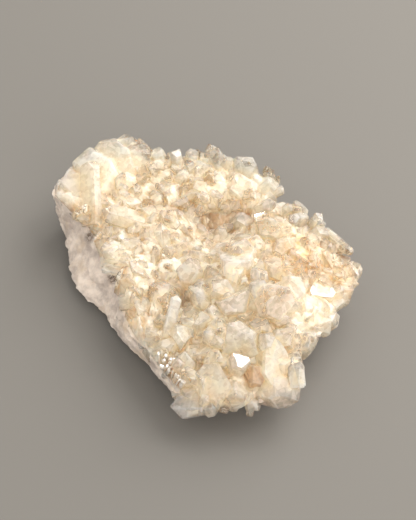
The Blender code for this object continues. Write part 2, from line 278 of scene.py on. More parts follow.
LARGE_POINTS = {
    "mound_crown": Point((15, 2, 17), (7, -5, 35), 7.2, Habit.CHISEL, mates=3,
                         face=(-0.25, -0.45, 0.85), drop=0.7),
    "mound_shoulder": Point((15, -14, 18), (4, -18, 34), 7.4, Habit.CHISEL, mates=3,
                            face=(-0.5, -0.35, 0.8), drop=0.7),
    "mound_summit": Point((25, -16, 17), (20, -22, 38.2), 7.6, Habit.POINT, grey_and_shade=0.5, mates=3,
                          face=(0.1, -0.55, 0.8), drop=0.35),
    "mound_front": Point((15, -27, 15), (6, -34, 31), 7.0, Habit.CHISEL, face=(-0.4, -0.45, 0.8), drop=0.7),
    "mound_right": Point((30, -14, 16), (28, -11, 34), 5.2, face=(0.5, -0.4, 0.75), drop=0.6),
    "mound_back": Point((19, -8, 17), (17, -9, 34), 3.4),
    "front_blade": Point((-1, -45, 9), (8, -38, 27), 7.4, Habit.CHISEL, flatness=0.85, mates=0,
                         face=(-0.2, -0.55, 0.8), drop=0.9, spin=20),
    "front_glint": Point((8, -37.9, 11.8), (11.8, -38.6, 27.2), 4.3, Habit.RHOMB, mates=0, mirror=0.62,
                         spin=0),
    # The next crystal is painted dark brown, as the shade down in the gap beside the glint.
    "front_gap": Point((15.5, -39, 10), (17.0, -40.5, 24.0), 4.6, Habit.STUB, mates=0, face=(0.2, -0.6, 0.8),
                       drop=0.6, painted_shade=2.4),
    "front_prism": Point((26, -42, 12), (17, -31, 29.5), 6.4, Habit.CHISEL, mates=0, face=(0.3, -0.45, 0.8),
                         drop=0.8),
    "front_right_block": Point((16, -39, 10), (32, -48.5, 17.5), 6.6, Habit.STUB, grey_and_shade=0.3, mates=0,
                               face=(0.25, -0.35, 0.9), drop=0.6),
    "front_right_white": Point((22, -35, 12), (29, -39.5, 22.5), 4.6, Habit.PYRAMID, mates=1),
    "front_right_stub": Point((24, -36, 12), (31, -36, 23), 4.6),
    "front_nose": Point((9, -41, 8), (9.6, -48.5, 19.5), 5.0, Habit.RHOMB, mates=0, spin=30),
    "front_left_block": Point((1, -45, 9), (-13, -50, 12), 5.2, Habit.CHISEL, grey_and_shade=0.7, mates=1,
                              face=(-0.3, -0.4, 0.9), drop=0.8),
    "front_pebble_a": Point((3, -45, 8), (0, -53, 14), 3.0, Habit.STUB),
    "front_pebble_b": Point((8, -43, 8), (5, -52, 14), 2.8, Habit.STUB, mates=0, mirror=0.7),
    "front_pebble_c": Point((16, -42, 9), (14, -52, 13), 3.0, Habit.STUB),
    "right_flat": Point((39.5, -9.5, 8), (38.7, -10.8, 28.5), 4.9, Habit.PYRAMID, mates=0, flatness=0.5,
                        mirror=1.2, spin=62),
    "right_corner": Point((46, 1, 12), (54, 2, 21), 4.2, Habit.STUB),
    "right_needle": Point((37, 18, 15), (51, 6, 22), 2.0),
    "right_slope_a": Point((42, -15, 10), (31, -15, 25), 5.0),
    "right_slope_b": Point((31, -27, 12), (36, -27, 22), 4.6),
    "stained_a": Point((40, 6, 13), (36, 7, 24), 3.2),
    "stained_b": Point((32, 5, 14), (29, 4, 26), 3.4),
    "back_window_a": Point((3, 42, 16), (3, 50.5, 29), 4.8, Habit.STUB, grey_and_shade=0.3, clear=0.1, mates=1),
    "back_window_b": Point((11, 39, 16), (16, 47.5, 28.5), 5.4, Habit.STUB, grey_and_shade=0.1, clear=0.05, mates=1),
    "back_slab": Point((12, 34, 17), (14, 36, 29), 6.0, face=(0.2, -0.25, 0.95), drop=0.8),
    "back_stub_a": Point((-15, 44, 18), (-20, 52, 25), 3.2, Habit.STUB),
    "back_stub_b": Point((-10, 44, 18), (-12, 50, 27), 3.2, Habit.STUB),
    "back_stub_c": Point((-4, 43, 18), (-6, 50, 27), 2.6, Habit.STUB),
    "back_right_a": Point((16, 27, 16), (24, 24, 27.5), 3.0, mates=1, mirror=0.35),
    "back_right_b": Point((28, 23, 15), (34, 26, 24), 2.8, Habit.STUB),
    "back_right_c": Point((35, 18, 14), (41, 22, 24), 2.8, Habit.STUB),
    "clear_crest": Point((27, 13, 15), (17, 15, 29), 5.2, face=(-0.2, -0.4, 0.9), drop=0.6),
    "hollow_rim": Point((3, 30, 15), (-4, 29, 25), 3.2),
    "centre_left": Point((-4, -4, 12), (-7, -1, 29), 5.6, face=(-0.1, -0.55, 0.85), drop=0.7),
    "left_prism": Point((-40.2, 20.5, 18.0), (-41.4, 43.0, 29.9), 4.4, Habit.STUB, mates=0, flatness=0.7,
                        spin=0),
    "left_lump": Point((-36, 33, 8), (-55.8, 39.4, 27.6), 9.6, Habit.STUB, grey_and_shade=0.2, mates=0, clear=-0.25,
                       face=(-0.2, -0.3, 0.95), drop=0.5, spin=10),
    "left_shoulder": Point((-32, 33, 12), (-45.5, 48.5, 31.5), 8.6, Habit.STUB, mates=0, clear=-0.2,
                           face=(-0.1, -0.3, 0.95), drop=0.6, spin=25),
    "left_brow": Point((-29, 37, 13), (-37.0, 55.0, 31.0), 7.6, Habit.STUB, mates=0, clear=-0.1,
                       face=(0.0, -0.4, 0.9), drop=0.6, spin=40),
    "left_slab": Point((-22, 21, 18), (-39, 22, 25), 3.8, Habit.CHISEL, mates=1),
    "left_tooth": Point((-25, 10, 16), (-37, 6, 22), 3.2),
    "left_needle": Point((-33, 38, 19), (-42, 49, 27), 1.9),
    "left_window_a": Point((-26, 40, 14), (-24, 53, 29.5), 6.2, Habit.CHISEL, grey_and_shade=0.6, clear=0.25, mates=0,
                           face=(0.1, -0.5, 0.85), drop=0.6),
    "left_window_b": Point((-28, 42, 14), (-29.5, 56, 30), 6.2, Habit.STUB, grey_and_shade=0.4, clear=0.2, mates=0,
                           face=(-0.1, -0.5, 0.85), drop=0.6),
    "low_left_knob": Point((-12, -9, 12), (-19, -9, 25), 5.4, Habit.PYRAMID, grey_and_shade=0.4, clear=0.1),
    "low_left_blade": Point((-15.6, -33, 13.5), (-9.5, -14, 27.5), 2.1, Habit.CHISEL, clear=-0.2,
                            flatness=0.6, mates=0),
    "low_left_dome": Point((-1, -27, 11), (-9, -22, 25), 6.6, Habit.PYRAMID, mates=1,
                           face=(-0.3, -0.6, 0.75), drop=0.5),
    "low_left_stub": Point((-6, -39, 8), (-7, -33, 22), 5.2),
    "mound_foot": Point((6, -20, 14), (0, -21, 28), 4.8),
}

SMALLER_POINTS = {
    "west_white": Point((-30, 10, 17.5), (-38, 7, 21), 3.3, Habit.STUB, grey_and_shade=0.7),
    "west_ring": Point((-21.5, 29.5, 16.5), (-20.5, 25.5, 24.5), 2.7, Habit.PYRAMID, clear=0.3),
    "west_bright": Point((-13, 40, 18), (-12.5, 37.5, 25.5), 2.7),
    "leaf_a": Point((-3.5, 36.5, 20.5), (-8, 38.5, 25), 2.2, Habit.CHISEL),
    "north_knob": Point((1, 38, 19), (1.5, 35.5, 26.5), 3.1, clear=0.3),
    "north_bead": Point((-3.5, 50, 19.5), (-3.5, 48.5, 25.5), 1.6, clear=0.3),
    "north_tablet": Point((23, 41.5, 18.5), (22.5, 42, 24.5), 2.6, clear=0.3, flatness=0.6),
    "north_bead_b": Point((25, 39, 19), (25.5, 39, 23), 1.4, clear=0.4),
    "leaf_b": Point((-15.5, 23.5, 18), (-7.5, 24.5, 21), 1.9, Habit.CHISEL),
    "leaf_c": Point((-8, 31.5, 19), (-1.5, 32.5, 23), 2.0),
    "leaf_d": Point((3, 29.5, 18), (-5, 24, 21), 2.4, Habit.CHISEL),
    "centre_pale": Point((-8.5, 11, 17), (-15.5, 5.5, 22.5), 2.9, Habit.STUB, grey_and_shade=0.5),
    "centre_ring": Point((-14, 3.5, 15), (-13.5, 0.5, 22), 2.3, Habit.PYRAMID),
    "west_smooth": Point((-23, 6, 16), (-23, -3.5, 20.5), 2.4, grey_and_shade=0.5),
    "west_leaf_a": Point((-36.5, 5.5, 17), (-24.5, 0.5, 21), 2.0, flatness=0.6),
    "west_leaf_b": Point((-35.5, 3, 17), (-24, -2.5, 20), 2.0, flatness=0.6),
    "flat_face": Point((1.5, 4.5, 18), (4.3, 4.6, 25), 2.4, Habit.CHISEL, mirror=0.3),
    "east_pale": Point((30.5, 13, 18), (23, 3.5, 27), 3.2),
    "rust_knob": Point((35.5, 9, 18), (34.5, 9, 25), 3.4, Habit.PYRAMID),
    "east_upright": Point((42, 10.5, 17), (41.5, 12, 23), 1.9),
    "rust_rough_a": Point((42.5, -2, 17), (39.5, -2.5, 24), 3.0),
    "rust_rough_b": Point((45.5, 1.5, 17), (43.5, 1.5, 23), 2.6),
    "tan_upright_a": Point((32.5, -8, 19.5), (31.5, -5.5, 28), 2.8),
    "tan_upright_b": Point((35.5, -6.5, 19), (35, -3, 25.5), 2.2),
    "crest_round_a": Point((34, 23, 17.5), (28, 17.5, 24), 3.2),
    "crest_round_b": Point((34, 27.5, 16.5), (31, 25.5, 24), 3.0),
    "crest_glassy": Point((25, 18, 18), (15.5, 19.6, 26.8), 3.4, clear=0.2, mirror=0.25),
    "mound_shard": Point((19.5, 10.5, 18.5), (15, 8, 27.5), 3.0),
    "east_lath": Point((42, 17, 19), (50, 5.5, 22.5), 1.8),
    "hollow_lath": Point((-5.5, -9, 14.5), (-6.5, -9.5, 21.5), 1.6),
    "lens_front": Point((11, -29, 19.5), (3, -29, 27.5), 3.6, Habit.PYRAMID),
    "front_pale_right": Point((29.5, -43, 15), (28.5, -35.5, 23), 3.4),
}


BLUSHES = (
    Blush(36, 6, 7, iron=1.1),
    Blush(44, -1, 6, iron=1.0),
    Blush(26, 0, 6, iron=0.45),
    Blush(-26, -17, 2.6, iron=1.0),
    Blush(-44.2, 23.8, 2.0, iron=3.0),
    Blush(-39.5, 15.5, 2.2, iron=3.0),
    Blush(-30.8, -2.0, 2.2, iron=3.0),
    # The grey patches stand partly for greyer quartz and partly for painted half shade, most of it on the low
    # left.
    Blush(-52, 36, 5, grey_and_shade=0.5),
    Blush(-36, 3, 8, grey_and_shade=0.2),
    Blush(-14, -8, 6, grey_and_shade=0.25),
    Blush(-17, -22, 7, grey_and_shade=0.1),
    Blush(-10, -48, 7, grey_and_shade=0.6),
    Blush(28, -45, 7, grey_and_shade=0.45),
    Blush(24, -20, 5, grey_and_shade=0.5),
)


HOLLOWS = (
    Hollow(16.0, -39.5, 3.0, 3.0),
    Hollow(23.6, -6.9, 2.2, 3.0),
    Hollow(-5.7, -8.5, 3.2, 2.5),
    Hollow(29.6, 23.1, 2.0, 3.0),
    Hollow(5.5, 24.4, 3.0, 1.5),
    Hollow(12.9, 24.1, 2.6, 1.5),
    Hollow(-3.5, -36.0, 2.0, 2.5),
    Hollow(-0.2, 25.9, 2.2, 1.5),
)


# Painted shade: the quartz is painted darker and browner the lower a place stands, on this scale.
SHADING_RISE = 12  # millimetres over the level that colours are reckoned from, where their scale reaches 1
FACES_APART = 3.7  # carries the middles of neighbouring faces to unlike places in the noise
FACE_LIMIT = 1.2  # how far a broken face may stand out or in

Breaks = tuple[Pair, ...]  # sizes of broken faces, each with its slant


def hollowed(x: float, y: float) -> float:
    """Returns how deep the hollows are at a place."""
    return sum(hollow.depth * hollow.share(x, y) for hollow in HOLLOWS)


def greyed_and_shaded(x: float, y: float) -> float:
    """Returns the share of grey at a place, partly greyish quartz and partly painted half shade."""
    return sum(blush.grey_and_shade * blush.share(x, y) for blush in BLUSHES)


def rusted(x: float, y: float) -> float:
    """Returns the share of iron stain at a place."""
    return sum(blush.iron * blush.share(x, y) for blush in BLUSHES)


def risen(plate: Plate, place: Vector) -> float:
    """Returns how high a place stands over the level that the painted shade is reckoned from, 1 at
    SHADING_RISE, with the hollows counted lower still so that they are painted darker.
    """
    level = plate.level + plate.rise * place.y + hollowed(place.x, place.y)
    return (place.z - level) / SHADING_RISE


def broken(place: Vector, breaks: Breaks) -> float:
    """Returns how far flat broken faces of several sizes stand out at a place."""
    out = 0.0
    for size, slant in breaks:
        _, cells = noise.voronoi(place / size)
        middle = cells[0] * size
        way = noise.noise_vector(middle * FACES_APART)
        out += max(-FACE_LIMIT, min(FACE_LIMIT, slant * way.dot(place - middle)))
    return out


def turns_and_rows(bm: bmesh.types.BMesh, around: int,
                   rows: int) -> Iterator[tuple[bmesh.types.BMVert, float, int]]:
    """Yields each point of a new sphere, with its share of a turn and its row from underneath.

    Args:
        bm: A unit sphere whose points haven't moved yet.
        around: How many points a row has.
        rows: How many rows there are, with both poles.
    """
    for vert in bm.verts:
        latitude = math.asin(max(-1.0, min(1.0, vert.co.z)))
        row = round((latitude / math.pi + 0.5) * (rows - 1))
        turn = round(math.atan2(vert.co.y, vert.co.x) / (2 * math.pi) * around) / around
        yield vert, turn, row


def float_layers(bm: bmesh.types.BMesh, traits: type[Enum]) -> dict[Enum, bmesh.types.BMLayerItem]:
    """Returns a new float attribute on a mesh's points for every trait."""
    for trait in traits:
        bm.verts.layers.float.new(trait.value)
    return {trait: bm.verts.layers.float[trait.value] for trait in traits}


class Trait(Enum):
    """The float attributes that every quartz mesh carries, for its material to read."""

    GROWTH = "growth"  # 0 at a crystal's root, 1 at its tip
    ALONG = "along"  # metres from the root, for the growth lines
    TONE = "tone"  # one random number a crystal
    # Rise sets the painted shade: the lower a place, the darker and browner its colour.
    RISE = "rise"  # height above the plate's level, 1 at 12 mm
    CLEAR = "clear"  # how much clearer than the rest
    # The grey share is partly greyer quartz and partly painted half shade.
    GREY_AND_SHADE = "grey_and_shade"  # share of greyish lavender
    IRON = "iron"  # share of iron stain, and over 1 where it has darkened the cracks
    # The edge share carries a painted highlight: the material paints the edges paler.
    EDGE = "edge"  # 1 along a crystal's edges, 0 within its faces
    POLISH = "polish"  # 1 on the few crystals whose faces are flawless


@dataclass(frozen=True)
class CrystalCutter:
    """Cuts single quartz points out of six-sided prisms.

    Its lengths are shares of a crystal's radius: how far below the tip the end faces meet the axis, by kind,
    how wide the worn edges and the borders along them are, which carry a painted highlight, and how small a
    face has none.
    """

    plate: Plate
    rhomb_tilt: float = math.radians(51.8)
    taper: float = 1.08
    edge_width: float = 0.12
    border: float = 0.16
    inner_share: float = 0.4
    smallest_face: float = 0.12
    side_spread: Pair = (0.8, 1.04)
    drawn_flatness: Pair = (0.8, 1.0)
    large_drop: Pair = (0.0, 0.4)
    small_rise: Pair = (0.0, 0.5)
    like_drop: Pair = (-0.12, 0.12)
    chisel_drop: Pair = (0.7, 1.1)
    break_slant: Pair = (0.2, 0.6)
    break_drop: float = 0.7

    def prism(self, length: float, radius: float, flatness: float, rng: random.Random) -> bmesh.types.BMesh:
        """Returns a prism on six unequal sides that stands on the origin, in millimetres."""
        bm = bmesh.new()
        bmesh.ops.create_cone(bm, cap_ends=True, segments=6, radius1=radius, radius2=radius,
                              depth=length, matrix=Matrix.Translation((0, 0, length / 2)))
        sides = [radius * math.cos(math.pi / 6) * rng.uniform(*self.side_spread) for _ in range(6)]
        sides[1] *= flatness
        sides[4] *= flatness
        for vert in bm.verts:
            corner = round((math.degrees(math.atan2(vert.co.y, vert.co.x)) - 30) / 60) % 6
            first, second = sides[corner], sides[(corner + 1) % 6]
            out = (first + second) / (2 * math.cos(math.pi / 6))
            across = second - first
            middle = math.radians(30 + 60 * corner)
            spread = self.taper if vert.co.z < length / 2 else 1.0
            vert.co.x = spread * (out * math.cos(middle) - across * math.sin(middle))
            vert.co.y = spread * (out * math.sin(middle) + across * math.cos(middle))
        return bm

    def end_face(self, bm: bmesh.types.BMesh, height: float, normal: Vector) -> None:
        """Cuts away all beyond a plane that meets the crystal's axis at a height."""
        cut = bmesh.ops.bisect_plane(bm, geom=bm.verts[:] + bm.edges[:] + bm.faces[:], clear_outer=True,
                                     plane_co=(0, 0, height), plane_no=normal)
        edges = [piece for piece in cut["geom_cut"] if isinstance(piece, bmesh.types.BMEdge)]
        if len(edges) > 2:
            bmesh.ops.contextual_create(bm, geom=edges)

    def ended(self, bm: bmesh.types.BMesh, length: float, radius: float, habit: Habit,
              rng: random.Random) -> None:
        """Cuts every end face of a habit."""
        favourite = rng.randrange(3) * 2
        for side in range(0, 6, 2 if habit is Habit.RHOMB else 1):
            drop = rng.uniform(*self.large_drop) if side % 2 == 0 else -rng.uniform(*self.small_rise)
            if habit in (Habit.PYRAMID, Habit.RHOMB):
                drop = rng.uniform(*self.like_drop)
            if habit is Habit.CHISEL and side == favourite:
                drop = rng.uniform(*self.chisel_drop)
            azimuth = math.radians(60 * side)
            flat = math.sin(self.rhomb_tilt)
            normal = Vector((math.cos(azimuth) * flat, math.sin(azimuth) * flat, math.cos(self.rhomb_tilt)))
            self.end_face(bm, length - drop * radius, normal)
        if habit is Habit.STUB:
            azimuth = rng.uniform(0, math.tau)
            slant = rng.uniform(*self.break_slant)
            normal = Vector((math.cos(azimuth) * slant, math.sin(azimuth) * slant, 1.0)).normalized()
            self.end_face(bm, length - self.break_drop * radius, normal)

    def inset(self, bm: bmesh.types.BMesh, faces: list[bmesh.types.BMFace], radius: float,
              edge: bmesh.types.BMLayerItem) -> None:
        """Sets a narrow border off in every face, so that the edges can be painted paler than the faces, as a
        painted highlight.

        Args:
            bm: The crystal.
            faces: Its faces, without those that round its edges.
            radius: The crystal's radius.
            edge: The attribute that is 1 along the edges, where the painted highlight goes.
        """
        for vert in bm.verts:
            vert[edge] = 1.0
        for face in faces:
            inner = 2.0 * face.calc_area() / max(face.calc_perimeter(), 1e-6)
            if inner < self.smallest_face * radius:
                continue
            thickness = min(self.border * radius, self.inner_share * inner)
            bmesh.ops.inset_individual(bm, faces=[face], thickness=thickness)
            for vert in face.verts:
                vert[edge] = 0.0

    def cut(self, point: Point, rng: random.Random, worn: bool = False) -> bpy.types.Mesh:
        """Returns one point's mesh in its place, in the frame's metres.

        Args:
            point: Where it stands and how it ends.
            rng: The source of its small differences.
            worn: Whether its edges are rounded.
        """
        root = Vector(point.root)
        tip = Vector(point.tip)
        length = (tip - root).length
        bm = self.prism(length, point.radius, point.flatness or rng.uniform(*self.drawn_flatness), rng)
        self.ended(bm, length, point.radius, point.habit, rng)
        spin = rng.uniform(0, math.tau) if point.spin < 0 else math.radians(point.spin)
        turn = (tip - root).to_track_quat("Z", "Y").to_matrix().to_4x4() @ Matrix.Rotation(spin, 4, "Z")
        inward = turn.inverted().to_3x3()
        if point.mirror:
            self.end_face(bm, length - point.mirror * point.radius, inward @ Studio().mirror_normal(tip))
        if point.drop:
            self.end_face(bm, length - point.drop * point.radius, inward @ Vector(point.face).normalized())
        faces = bm.faces[:]
        if worn:
            bevel = bmesh.ops.bevel(bm, geom=bm.edges[:], offset=self.edge_width * point.radius, segments=3,
                                    affect="EDGES", profile=0.5, material=-1, clamp_overlap=True)
            rounded = set(bevel["faces"])
            faces = [face for face in bm.faces if face not in rounded]
        traits = float_layers(bm, Trait)
        if worn:
            self.inset(bm, faces, point.radius, traits[Trait.EDGE])
        tone = rng.random()
        place = Matrix.Translation(root) @ turn
        for vert in bm.verts:
            vert[traits[Trait.GROWTH]] = vert.co.z / length
            vert[traits[Trait.ALONG]] = vert.co.z * MM + tone
            vert[traits[Trait.TONE]] = tone
            vert[traits[Trait.CLEAR]] = point.clear
            vert[traits[Trait.POLISH]] = 1.0 if point.mirror else 0.0
            vert.co = place @ vert.co
            # Lowering the rise paints the crystal darker, as painted shade.
            vert[traits[Trait.RISE]] = risen(self.plate, vert.co) - point.painted_shade
            vert[traits[Trait.GREY_AND_SHADE]] = point.grey_and_shade + greyed_and_shaded(*vert.co.xy)
            vert[traits[Trait.IRON]] = rusted(*vert.co.xy)
            vert.co = (vert.co - DATUM) * MM
        mesh = bpy.data.meshes.new("crystal")
        bm.to_mesh(mesh)
        bm.free()
        return mesh


@dataclass
class Growth:
    """A mass of crystals that have grown into one another.

    The smaller neighbours of a crystal have shares of its size: how far aside their axes and their roots
    stand, how far their tips swing, how far up they reach, and their radii.
    """

    name: str
    cutter: CrystalCutter
    meshes: list[bpy.types.Mesh] = field(default_factory=list)
    aside_share: Pair = (0.45, 0.85)
    root_aside: float = 0.6
    swing_share: float = 0.07
    reach_share: Pair = (0.62, 0.93)
    radius_share: Pair = (0.4, 0.72)

    def add(self, point: Point, rng: random.Random, worn: bool = False) -> None:
        """Adds one crystal."""
        self.meshes.append(self.cutter.cut(point, rng, worn))

    def add_sheaf(self, point: Point, rng: random.Random, worn: bool = False) -> None:
        """Adds a crystal with its smaller neighbours, which grow nearly parallel to it.

        Args:
            point: The crystal in the middle.
            rng: The source of their small differences.
            worn: Whether their edges are rounded.
        """
        self.add(point, rng, worn)
        root = Vector(point.root)
        axis = Vector(point.tip) - root
        for _ in range(point.mates):
            aside = axis.orthogonal().normalized()
            aside.rotate(Matrix.Rotation(rng.uniform(0, math.tau), 3, axis))
            aside *= point.radius * rng.uniform(*self.aside_share)
            swing = Vector([rng.uniform(-1, 1) for _ in range(3)]) * self.swing_share * axis.length
            tip = root + aside + axis * rng.uniform(*self.reach_share) + swing
            habit = rng.choice((Habit.CHISEL, Habit.CHISEL, Habit.PYRAMID, Habit.STUB))
            if point.habit is Habit.STUB:
                habit = Habit.STUB
            radius = point.radius * rng.uniform(*self.radius_share)
            self.add(Point(tuple(root + aside * self.root_aside), tuple(tip), radius, habit, point.grey_and_shade,
                           point.clear), rng, worn)

    def joined(self) -> bmesh.types.BMesh:
        """Returns all the crystals as one closed surface."""
        helpers = bpy.data.collections.new(self.name + "_parts")
        bpy.context.scene.collection.children.link(helpers)
        parts = [bpy.data.objects.new("crystal", mesh) for mesh in self.meshes]
        bpy.context.scene.collection.objects.link(parts[0])
        for part in parts[1:]:
            helpers.objects.link(part)
        union = parts[0].modifiers.new("union", "BOOLEAN")
        union.operation = "UNION"
        union.solver = "MANIFOLD"
        union.operand_type = "COLLECTION"
        union.collection = helpers
        shape = parts[0].evaluated_get(bpy.context.evaluated_depsgraph_get())
        bm = bmesh.new()
        bm.from_mesh(shape.to_mesh())
        for part in parts:
            bpy.data.objects.remove(part)
        for mesh in self.meshes:
            bpy.data.meshes.remove(mesh)
        bpy.data.collections.remove(helpers)
        return bm

    def finish(self, material: bpy.types.Material) -> bpy.types.Object:
        """Returns the finished piece, with its material."""
        log.info("%s: %d crystals and their root bed", self.name, len(self.meshes) - 1)
        return piece_from(self.name, self.joined(), material)


def piece_from(name: str, bm: bmesh.types.BMesh, material: bpy.types.Material) -> bpy.types.Object:
    """Returns an object for a bmesh, linked to the scene."""
    mesh = bpy.data.meshes.new(name)
    bm.to_mesh(mesh)
    bm.free()
    mesh.materials.append(material)
    piece = bpy.data.objects.new(name, mesh)
    bpy.context.scene.collection.objects.link(piece)
    return piece


# ------------------------------------------------------------------------------------------ finishes


@dataclass(frozen=True)
class Nodes:
    """A short way to write node trees."""

    tree: bpy.types.NodeTree

    def add(self, kind: str, **settings: object) -> bpy.types.Node:
        """Returns a new node with the given properties, and inputs named in_Name set."""
        node = self.tree.nodes.new(kind)
        for key, value in settings.items():
            if key.startswith("in_"):
                node.inputs[key[3:].replace("_", " ")].default_value = value
            else:
                setattr(node, key, value)
        return node

    def link(self, output: bpy.types.NodeSocket, target: bpy.types.NodeSocket) -> None:
        """Links two sockets."""
        self.tree.links.new(output, target)

    def mapped(self, value: bpy.types.NodeSocket, low: float, high: float, to_low: float,
               to_high: float) -> bpy.types.NodeSocket:
        """Returns a value clamped and carried from one range to another."""
        node = self.add("ShaderNodeMapRange", in_From_Min=low, in_From_Max=high, in_To_Min=to_low,
                        in_To_Max=to_high)
        self.link(value, node.inputs["Value"])
        return node.outputs["Result"]

    def attribute(self, name: str) -> bpy.types.NodeSocket:
        """Returns a float attribute's value."""
        return self.add("ShaderNodeAttribute", attribute_name=name).outputs["Fac"]

    def noise(self, scale: float, detail: float = 3.0, roughness: float = 0.5,
              distortion: float = 0.0) -> bpy.types.NodeSocket:
        """Returns a noise's value on Object coordinates, with so many lumps a metre."""
        coordinates = self.add("ShaderNodeTexCoord").outputs["Object"]
        node = self.add("ShaderNodeTexNoise", in_Scale=scale, in_Detail=detail, in_Roughness=roughness,
                        in_Distortion=distortion)
        self.link(coordinates, node.inputs["Vector"])
        return node.outputs["Fac"]

    def facets(self, size: float, stretch: float = 1.0) -> tuple[bpy.types.NodeSocket, bpy.types.NodeSocket]:
        """Returns the height of small tilted facets, in metres, and a random number for each.

        Args:
            size: How wide a facet is, in metres.
            stretch: How much longer they are upwards than across.
        """
        place = self.add("ShaderNodeVectorMath", operation="MULTIPLY")
        place.inputs[1].default_value = (1.0, 1.0, 1.0 / stretch)
        self.link(self.add("ShaderNodeTexCoord").outputs["Object"], place.inputs[0])
        cells = self.add("ShaderNodeTexVoronoi", in_Scale=1.0 / size, in_Randomness=1.0)
        self.link(place.outputs[0], cells.inputs["Vector"])
        away = self.add("ShaderNodeVectorMath", operation="SUBTRACT")
        self.link(place.outputs[0], away.inputs[0])
        self.link(cells.outputs["Position"], away.inputs[1])
        tilt = self.add("ShaderNodeVectorMath", operation="SUBTRACT")
        self.link(cells.outputs["Color"], tilt.inputs[0])
        tilt.inputs[1].default_value = (0.5, 0.5, 0.5)
        height = self.add("ShaderNodeVectorMath", operation="DOT_PRODUCT")
        self.link(away.outputs[0], height.inputs[0])
        self.link(tilt.outputs[0], height.inputs[1])
        parts = self.add("ShaderNodeSeparateColor")
        self.link(cells.outputs["Color"], parts.inputs[0])
        return height.outputs["Value"], parts.outputs[0]

    def cracks(self, width: float) -> bpy.types.NodeSocket:
        """Returns 1 along a wandering net of cracks, whose half width is a share of its meshes."""
        place = self.add("ShaderNodeTexCoord").outputs["Object"]
        ripples = self.add("ShaderNodeTexNoise", in_Scale=200.0)
        self.link(place, ripples.inputs["Vector"])
        wander = self.add("ShaderNodeMix", data_type="VECTOR", in_Factor=0.02)
        self.link(place, wander.inputs[4])
        self.link(ripples.outputs["Color"], wander.inputs[5])
        seams = self.add("ShaderNodeTexVoronoi", feature="DISTANCE_TO_EDGE", in_Scale=360.0)
        self.link(wander.outputs[1], seams.inputs["Vector"])
        return self.mapped(seams.outputs["Distance"], 0.0, width, 1.0, 0.0)

    def mixed(self, factor: bpy.types.NodeSocket, first: Colour | bpy.types.NodeSocket,
              second: Colour | bpy.types.NodeSocket) -> bpy.types.NodeSocket:
        """Returns two colours mixed by a factor."""
        node = self.add("ShaderNodeMix", data_type="RGBA")
        self.link(factor, node.inputs["Factor"])
        for given, socket in ((first, node.inputs[6]), (second, node.inputs[7])):
            if isinstance(given, tuple):
                socket.default_value = given
            else:
                self.link(given, socket)
        return node.outputs[2]

    def maths(self, operation: str, first: float | bpy.types.NodeSocket,
              second: float | bpy.types.NodeSocket) -> bpy.types.NodeSocket:
        """Returns a sum, product or the like of two values."""
        node = self.add("ShaderNodeMath", operation=operation)
        for given, socket in ((first, node.inputs[0]), (second, node.inputs[1])):
            if isinstance(given, (int, float)):
                socket.default_value = given
            else:
                self.link(given, socket)
        return node.outputs[0]


def new_material(name: str) -> tuple[bpy.types.Material, Nodes, bpy.types.Node, bpy.types.Node]:
    """Returns a material with its node writer, its Principled shader and its output."""
    material = bpy.data.materials.new(name)
    material.use_nodes = True
    tree = material.node_tree
    return material, Nodes(tree), tree.nodes["Principled BSDF"], tree.nodes["Material Output"]


